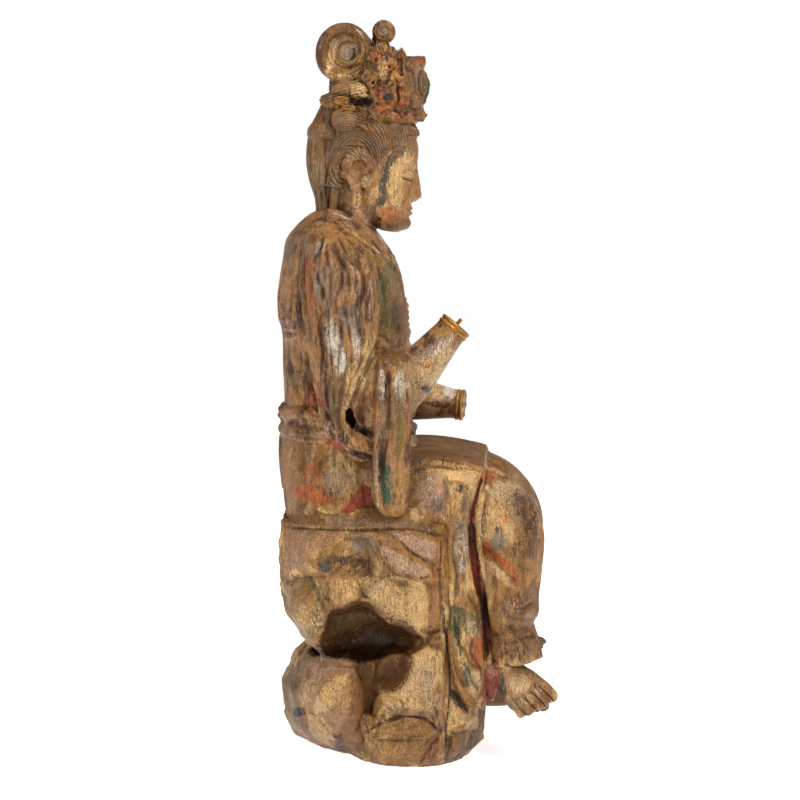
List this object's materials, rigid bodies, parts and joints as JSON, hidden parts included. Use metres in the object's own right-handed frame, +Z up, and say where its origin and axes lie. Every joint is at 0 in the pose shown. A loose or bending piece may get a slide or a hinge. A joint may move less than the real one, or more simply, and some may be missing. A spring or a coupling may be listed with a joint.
{
  "type": "carved seated guanyin figure",
  "caption": "Carved and painted wooden bodhisattva seated with legs pendant on a rock seat of the same carving, hands lost, with a metal pin in one wrist.",
  "frame": {"origin": "on the ground, under the centre of the bounding box", "axes": "+Z up; the figure faces -Y and its own left is +X"},
  "size_m": [0.3526, 0.4266, 1.0972],
  "materials": {
    "painted_wood": "worn polychrome over brown ochre ground, waxed, with crackle and dark wash in the cuts",
    "pin_brass": "aged, dull"
  },
  "bodies": {
    "root": {"carved_figure": "painted_wood", "wrist_pin": "pin_brass"}
  },
  "joints": []
}
